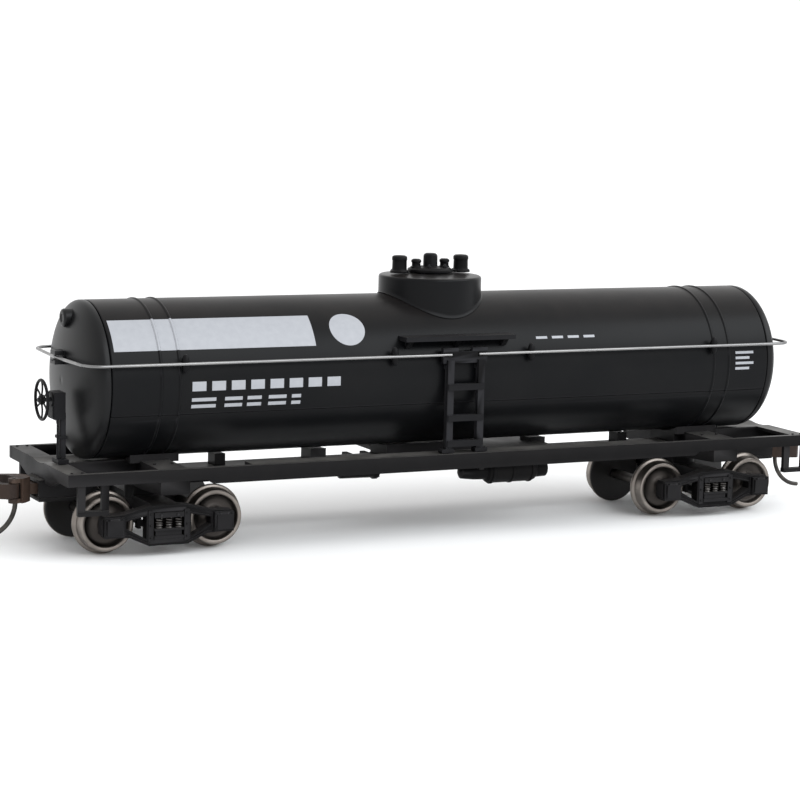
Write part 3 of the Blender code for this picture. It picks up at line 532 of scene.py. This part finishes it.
# ---------------------------------------------------------------- handrail, steps and ladders
def make_handrail():
    """Wire in two halves, each along one side, round the tank's end and back along the other side."""
    radius = 3.2
    corner_x, corner_y = RAIL_END_X - radius, RAIL_Y - radius
    half = [(2.7, -RAIL_Y, RAIL_Z)]
    half += [(corner_x * i / 12, -RAIL_Y, RAIL_Z) for i in range(1, 13)]
    for i in range(1, 15):
        turn = math.radians(84) * i / 14
        half.append((corner_x + radius * math.sin(turn), -corner_y - radius * math.cos(turn), RAIL_Z))
    last = Vector(half[-1])
    nose = Vector((BARREL_HALF + END_FLANGE + END_DEPTH + 1.05, -1.5, RAIL_Z))
    half += [tuple(last.lerp(nose, i / 6)) for i in range(1, 6)] + [tuple(nose)]
    for name, sign in (("handrail_brake_end", -1), ("handrail_plain_end", 1)):
        route = half + [(x, -y, z) for x, y, z in half[::-1]]
        route = [(sign * x, sign * y, z) for x, y, z in route]
        add_piece(f"{name}_wire", tube(route, WIRE_R - 0.005), WIRE, "wagon", (name,),
                  edge=0.04)


def make_posts():
    """Eyelets that hold the handrail, each with a stem and foot on the tank."""
    reach = math.sqrt((TANK_R + STRAP_RISE + GAP) ** 2 - (RAIL_Z - TANK_Z) ** 2)
    bead = [(-1.6, 0.15), (-1.45, 0.36), (-1.05, 0.54), (-0.6, 0.66), (0, 0.7), (0.6, 0.66), (1.05, 0.54),
            (1.45, 0.36), (1.6, 0.15)]
    number = 0
    for sign in (-1, 1):
        for x in POST_X:
            number += 1
            eye = lathe([(RAIL_Z + up, radius) for up, radius in bead], "Z", (x, sign * (RAIL_Y - 0.55)), 24)
            near, far = sorted((sign * (reach + 0.06), sign * (RAIL_Y - 0.5)))
            stem = rod("Y", near, far, 0.4, (RAIL_Z, x), 16)
            foot_in, foot_out = sorted((sign * (reach + 0.06), sign * (reach + 0.26)))
            foot = rod("Y", foot_in, foot_out, 0.7, (RAIL_Z, x), 20)
            add_piece(f"handrail_eyelet_{number}", joined(eye, stem, foot), FITTING, "wagon",
                      (f"handrail_post_{number}",), edge=0.03)


# ---------------------------------------------------------------- wheels
def make_wheelset(end, axle, x):
    """Axle with its pointed ends, and two wheels, centred at x."""
    prefix = f"{end}_{axle}"
    body = f"{prefix}_wheelset"
    turned = new_look(f"{prefix}_turned_nickel", (0.180, 0.160, 0.145), (0.27, 0.243, 0.220), (0.30, 0.44),
                      metallic=1.0, grain=420, pits=9000, relief=0.010, centre=(x, 0, AXLE_Z),
                      dull_below=WHEEL_BACK + 0.11)
    profile = [(WHEEL_BACK, 0.86), (WHEEL_BACK, 5.0), (7.32, 5.3), (7.42, 5.42), (7.55, 5.45),
               (7.72, 5.43), (7.9, 5.32), (8.02, 5.12), (8.12, 4.94), (8.25, 4.86), (9.75, 4.76),
               (9.95, 4.7), (10.04, 4.58), (10.05, 4.45), (10.05, 4.08), (9.98, 3.98), (9.6, 3.86),
               (9.3, 3.66), (9.16, 3.35), (9.12, 2.9), (9.2, 2.3), (9.42, 1.8), (9.7, 1.52), (9.9, 1.46),
               (9.95, 1.36), (9.95, 0.86)]
    for side, sign in (("near", -1), ("far", 1)):
        shape = lathe([(sign * y, radius) for y, radius in profile], "Y", (AXLE_Z, x), 96, ring=True)
        add_piece(f"{prefix}_wheel_{side}_turned", shape, turned, body,
                  (f"{prefix}_wheel_{side}",), edge=0.03)
    half = [(0, 0.95), (6.5, 0.95), (6.8, 0.88), (7.0, 0.8), (10.6, 0.8), (12.5, 0.15), (12.58, 0.06),
            (12.6, 0.02)]
    profile = [(-y, radius) for y, radius in half[:0:-1]] + half
    add_piece(f"{prefix}_axle_turned", lathe(profile, "Y", (AXLE_Z, x), 40), PIN, body,
              (f"{prefix}_axle",), edge=0.03)


# ---------------------------------------------------------------- trucks
def coil(x, y, low, high, radius, thick, turns):
    """Upright coil spring about (x, y)."""
    steps = turns * 16
    points = []
    for i in range(steps + 1):
        turn = 2 * math.pi * i / 16
        points.append((x + radius * math.cos(turn), y + radius * math.sin(turn),
                       low + (high - low) * i / steps))
    return tube(points, thick, 7)


def truck_details(centre):
    """Bolster end, spring seat, rims and bearing caps that stand on one side frame, at +Y."""
    face = SIDE_FACE
    half = [(0, 8.75), (3.2, 8.7), (8.0, 7.5), (11.4, 7.3), (11.8, 6.7), (11.8, 4.2), (11.2, 3.65),
            (8.2, 3.6), (7.0, 3.5), (3.5, 1.9)]
    outline = [(centre + x, z) for x, z in half + [(-x, z) for x, z in half[:0:-1]]]
    shapes = [ring_plate(outline, 0.42, face - 0.06, face + 0.2)]
    shapes.append(box((centre - 2.65, centre + 2.65), (12.25, 13.5), (2.95, 3.5)))
    shapes.append(box((centre - 2.35, centre + 2.35), (12.25, 13.2), (3.4, 4.5)))
    shapes.append(box((centre - 2.65, centre + 2.65), (12.25, 13.5), (4.4, 4.8)))
    shapes.append(box((centre - 2.62, centre + 2.62), (12.25, 13.6), (6.65, 7.5)))
    for x in (-1.5, 1.5):
        shapes.append(rod("Y", 13.5, 13.8, 0.24, (7.08, centre + x), 12))
    for way in (-1, 1):
        post = sorted((centre + way * 2.75, centre + way * 3.7))
        shapes.append(box(post, (face - 0.05, face + 0.28), (2.6, 7.9)))
        for z in (3.3, 5.4, 7.3):
            shapes.append(rod("Y", face + 0.2, face + 0.48, 0.2, (z, centre + way * 3.25), 6))
        middle = centre + way * WHEELBASE / 2
        shapes.append(box((middle - 0.55, middle + 0.55), (13.5, 14.12), (6.55, 7.05)))
        shapes.append(rod("X", middle - 0.85, middle + 0.85, 0.2, (13.92, 6.85), 12))
        for x, z in ((-1.45, 4.2), (1.45, 4.2), (-1.45, 6.85), (1.45, 6.85)):
            shapes.append(rod("Y", 13.8, 14.05, 0.17, (z, middle + x), 6))
        shapes.append(lathe([(13.9, 0.95), (14.12, 0.85), (14.14, 0.02)], "Y", (5.4, middle), 32))
        window = [(3.9, 7.2), (7.6, 6.4), (7.6, 5.0), (3.9, 2.9)]
        window = [(centre + way * a, z) for a, z in window]
        grown = [(Vector(p) - Vector(q)).normalized() * 0.3 + Vector(p)
                 for p, q in zip(window, [(centre + way * 5.75, 5.4)] * 4)]
        shapes.append(ring_plate([tuple(point) for point in grown], 0.3, face - 0.06, face + 0.14))
    return joined(*shapes)


def make_truck(end, sign):
    """Truck frame with its castings, springs and brake beams, and the two wheelsets in it."""
    body = f"{end}_truck"
    centre = sign * TRUCK_X
    side = truck_details(centre)
    add_piece(f"{end}_truck_castings", joined(side, flipped(side, y=-1)), TRUCK, body,
              edge=0.05)
    coils = joined(*[coil(centre + x, y=12.95, low=4.85, high=6.6, radius=0.56, thick=0.19, turns=4)
                     for x in (-1.75, 0.0, 1.75)])
    add_piece(f"{end}_truck_springs", joined(coils, flipped(coils, y=-1)), SPRING, body,
              edge=0)
    beams = []
    shoes = []
    for way in (-1, 1):
        middle = centre + way * 3.3
        beams.append(box((middle - 0.3, middle + 0.3), (-11.0, 11.0), (4.6, 5.6)))
        along = sorted((centre + way * 3.55, centre + way * 4.15))
        for hand in (-1, 1):
            shoes.append(box(along, sorted((hand * 7.9, hand * 9.5)), (4.2, 6.4)))
    add_piece(f"{end}_truck_brake_beams", joined(*beams, *shoes), TRUCK, body,
              edge=0.06)
    dress(TRUCK, 0.1, f"{end}_truck_frame")
    dress(STEEL, 0.05, f"{end}_truck_screw")
    for axle, offset in (("outer", sign), ("inner", -sign)):
        make_wheelset(end, axle, centre + offset * WHEELBASE / 2)


# ---------------------------------------------------------------- couplers
def make_coupler(end, sign):
    """Draft box, coupler and knuckle as the CAD has them, and a smooth uncoupling pin below."""
    dress(FRAME, 0.09, f"{end}_draft_box", f"{end}_box_lid")
    dress(COUPLER, 0.26, f"{end}_coupler", f"{end}_knuckle")
    dress(PIN, 0.05, f"{end}_knuckle_pin")
    bend, bend_z = 5.8, 8.3
    route = [(TRIP_X, TRIP_Y, COUPLER_Z - 0.2 - step) for step in (0, 1.0)] + [(TRIP_X, TRIP_Y, bend_z)]
    for i in range(1, 25):
        turn = math.radians(88) * i / 24
        route.append((TRIP_X + bend * (1 - math.cos(turn)), TRIP_Y, bend_z - bend * math.sin(turn)))
    route = [(sign * u, sign * v, z) for u, v, z in route]
    add_piece(f"{end}_trip_pin_wire", tube(route, TRIP_R - 0.005, 16), PIN, f"{end}_coupler_body",
              (f"{end}_trip_pin",), edge=0.04)


# ---------------------------------------------------------------- hand brake
def make_brake_wheel():
    """Hand wheel with a round rim, six dished spokes and a hub."""
    centre = (BRAKE_Y, BRAKE_WHEEL_Z)
    x = BRAKE_WHEEL_X
    rim = [(x + 0.26 * math.sin(2 * math.pi * i / 12), BRAKE_WHEEL_R + 0.27 * math.cos(2 * math.pi * i / 12))
           for i in range(12)]
    shapes = [lathe(rim, "X", centre, 64, ring=True)]
    for i in range(6):
        turn = math.radians(60 * i)
        points = []
        for k in range(9):
            out = 0.55 + (BRAKE_WHEEL_R - 0.55) * k / 8
            dish = 0.14 * math.sin(math.pi * k / 8)
            points.append((x + dish, centre[0] - out * math.sin(turn), centre[1] + out * math.cos(turn)))
        shapes.append(tube(points, 0.17, 8))
    hub = [(x - 0.4, 0.46), (x - 0.4, 0.7), (x - 0.3, 0.82), (x + 0.35, 0.85), (x + 0.45, 0.75),
           (x + 0.45, 0.46)]
    shapes.append(lathe(hub, "X", centre, 32, ring=True))
    add_piece("brake_wheel_moulding", joined(*shapes), FITTING, "brake_wheel_body",
              ("brake_wheel",), edge=0.03)


def make_brake_details():
    """Gear cover, chain rod, foot plate and bolts on the hand-brake stand."""
    low = SILL_TOP + GAP
    y = BRAKE_Y
    shapes = [box((-72.95, -72.6), (y - 1.35, y + 1.35), (23.3, 25.2)),
              rod("X", -72.95, -72.5, 1.15, (y, BRAKE_WHEEL_Z), 28),
              rod("Z", low + 0.7, 23.0, 0.2, (-71.75, y - 0.55), 10),
              box((-71.7, -70.2), (y - 1.15, y + 1.15), (low + 4.2, low + 4.7))]
    for way in (-1, 1):
        shapes.append(rod("Z", low + 0.7, low + 1.15, 0.28, (-71.1, y + way * 1.3), 6))
        for z in (23.2, 27.2):
            shapes.append(rod("X", -72.85, -72.6, 0.17, (y + way * 1.35, z), 6))
    add_piece("brake_stand_details", joined(*shapes), FITTING, "wagon", edge=0.04)
    dress(FITTING, 0.09, "brake_stand")


# ---------------------------------------------------------------- under the frame
def make_under_gear():
    """Straps round the air reservoir and bolts on the brake cylinder's end."""
    dress(FRAME, 0.08, "air_reservoir", "brake_cylinder")
    shapes = []
    for x in (9.9, 13.9, 17.9):
        strap = [(x - 0.22, 2.28), (x - 0.18, 2.42), (x + 0.18, 2.42), (x + 0.22, 2.28)]
        shapes.append(lathe(strap, "X", RESERVOIR_AXIS, 40, ring=True))
    y, z = CYLINDER_AXIS
    for i in range(6):
        turn = math.radians(60 * i)
        place = (y + 2.25 * math.cos(turn), z + 2.25 * math.sin(turn))
        shapes.append(rod("X", -6.95, -6.55, 0.22, place, 6))
    add_piece("brake_gear_details", joined(*shapes), FRAME, "wagon", edge=0.03)


def make_frame_details():
    """Rivet heads on the side sills over the trucks, and bolts on the bolsters and frame corners."""
    shapes = []
    head = [(0, 0.26), (0.07, 0.25), (0.13, 0.18), (0.15, 0.02)]
    face = FRAME_Y - 0.16
    for end in (-1, 1):
        for side in (-1, 1):
            for i in range(5):
                x = end * (STRAP_X + (i - 2) * 1.15)
                for z in (13.75, 14.65):
                    profile = [(side * (face + up), radius) for up, radius in head]
                    shapes.append(lathe(profile, "Y", (z, x), 10))
            for way in (-1, 1):
                shapes.append(rod("Z", SILL_TOP - 0.1, SILL_TOP + 0.22, 0.3,
                                  (end * STRAP_X + way * 1.6, side * 10.4), 6))
                shapes.append(rod("Z", SILL_TOP - 0.1, SILL_TOP + 0.18, 0.24,
                                  (end * 71.6 + way * 0.9, side * 14.9), 6))
    add_piece("frame_rivets", joined(*shapes), FRAME, "wagon", edge=0)


# ---------------------------------------------------------------- plain printed marks
def film(rows, closed_rows=False):
    """Thin layer of ink that follows the tank: rows of (x, angle) made into a closed slab."""
    slab = []
    for row in rows:
        over = [round_tank(x, turn, shell_radius(x) + INK_OVER) for x, turn in row]
        under = [round_tank(x, turn, shell_radius(x) - INK_UNDER) for x, turn in row]
        slab.append(over + under[::-1])
    return skin(slab, closed_rows=closed_rows)


def bar(left, right, low, high):
    """Rectangle of ink between two places along the tank and two angles in degrees."""
    stops = [left, right]
    for middle in (-STRAP_X, STRAP_X):
        for edge in (-STRAP_HALF, STRAP_HALF):
            stops += [x for x in (middle + edge + step for step in RIDGE_STEPS) if left < x < right]
    steps = max(1, round((high - low) / INK_STEP))
    turns = [math.radians(low + (high - low) * i / steps) for i in range(steps + 1)]
    return film([[(x, turn) for turn in turns] for x in sorted(stops)])


def disc(x, angle, radius):
    """Round spot of ink about a place and an angle in degrees, as spokes out from a tiny hole."""
    reaches = [radius * (0.004 + 0.996 * k / 10) for k in range(11)]
    spokes = []
    for i in range(64):
        turn = 2 * math.pi * i / 64
        spokes.append([(x + reach * math.cos(turn), math.radians(angle) + reach * math.sin(turn) / TANK_R)
                       for reach in reaches])
    return film(spokes, closed_rows=True)


def make_marks():
    """A broad bar and a spot, a row of blocks over two rows of dashes, and two groups of four lines."""
    shapes = [bar(-64.4, -27.8, 26.4, 53.0), disc(-21.2, 39.7, 3.3)]
    left = -51.0
    shapes += [bar(x, x + 2.5, -3.6, 3.2) for x in (left + 3.55 * i for i in range(8))]
    dashes = ((left, 4.4), (-45.0, 3.2), (-40.9, 2.6), (-37.0, 3.3), (-32.7, 1.7))
    for low in (-11.2, -16.2):
        shapes += [bar(x, x + width, low, low + 2.6) for x, width in dashes]
    shapes += [bar(15.6 + 3.3 * i, 17.9 + 3.3 * i, 26.2, 28.2) for i in range(4)]
    shapes += [bar(57.9, 61.9 - 0.9 * (i % 2), 9.0 - 4.2 * i, 11.0 - 4.2 * i) for i in range(4)]
    side = joined(*shapes)
    add_piece("printed_bars", joined(side, flipped(side, x=-1, y=-1)), PRINT, "wagon", edge=0)


# ---------------------------------------------------------------- camera, light and floor
def make_camera():
    """Camera on the near side towards the brake end, a little above the wagon."""
    azimuth = math.radians(26.43)
    elevation = math.radians(8.03)
    roll = math.radians(1.47)
    distance = 436.5 * MM
    target = Vector((-5.4, 0, 22.7)) * MM
    ahead = Vector((math.sin(azimuth) * math.cos(elevation), math.cos(azimuth) * math.cos(elevation),
                    -math.sin(elevation)))
    across = Vector((math.cos(azimuth), -math.sin(azimuth), 0))
    upward = across.cross(ahead)
    right = across * math.cos(roll) + upward * math.sin(roll)
    up = upward * math.cos(roll) - across * math.sin(roll)
    camera = bpy.data.objects.new("camera", bpy.data.cameras.new("camera"))
    camera.matrix_world = Matrix((right, up, -ahead)).transposed().to_4x4()
    camera.location = target - ahead * distance
    camera.data.lens = 108.25
    camera.data.clip_start = 0.01
    camera.data.clip_end = 20
    bpy.context.collection.objects.link(camera)
    bpy.context.scene.camera = camera


def area_light(name, place, aim, width, height, power, colour):
    """Rectangular soft light at a place, in metres, facing another."""
    data = bpy.data.lights.new(name, "AREA")
    data.shape = "RECTANGLE"
    data.size = width
    data.size_y = height
    data.energy = power
    data.color = colour
    light = bpy.data.objects.new(name, data)
    light.location = place
    light.rotation_euler = (Vector(aim) - Vector(place)).to_track_quat("-Z", "Y").to_euler()
    bpy.context.collection.objects.link(light)


def make_studio():
    """White surroundings and one softbox above the near side."""
    world = bpy.data.worlds.new("studio")
    world.use_nodes = True
    background = world.node_tree.nodes["Background"]
    background.inputs["Color"].default_value = (1, 1, 1, 1)
    background.inputs["Strength"].default_value = 1.12
    bpy.context.scene.world = world
    bpy.context.scene.view_settings.view_transform = "Standard"
    area_light("front_softbox", place=(0.36, -0.54, 0.52), aim=(0, 0, 0.03), width=1.2, height=0.5,
               power=6.0, colour=(0.93, 0.97, 1.0))


def make_floor():
    """Pale paper under the wagon, 6 metres square."""
    mesh = bpy.data.meshes.new("floor")
    half = 3.0
    corners = [(-half, -half, 0), (half, -half, 0), (half, half, 0), (-half, half, 0)]
    mesh.from_pydata(corners, [], [(0, 1, 2, 3)])
    floor = bpy.data.objects.new("floor", mesh)
    bpy.context.collection.objects.link(floor)
    look = bpy.data.materials.new("floor_paper")
    look.use_nodes = True
    tree = look.node_tree
    shader = tree.nodes["Principled BSDF"]
    place = tree.nodes.new("ShaderNodeTexCoord").outputs["Object"]
    tone = mixed(tree, noise(tree, place, 8.0), (0.90, 0.90, 0.90), (0.93, 0.93, 0.93))
    tree.links.new(tone, shader.inputs["Base Color"])
    shader.inputs["Roughness"].default_value = 0.9
    shader.inputs["Specular IOR Level"].default_value = 0.1
    mesh.materials.append(look)


def main():
    make_camera()
    make_studio()
    make_floor()
    make_barrel()
    make_ends()
    make_dome()
    make_dome_fittings()
    make_handrail()
    make_posts()
    dress(FITTING, 0.1, "dome_step_near", "dome_step_far", "ladder_near", "ladder_far")
    dress(FRAME, 0.1, "underframe")
    dress(BALLAST, 0.1, "steel_weight")
    make_brake_wheel()
    make_brake_details()
    make_under_gear()
    make_frame_details()
    make_marks()
    for end, sign in ENDS:
        make_truck(end, sign)
        make_coupler(end, sign)


main()
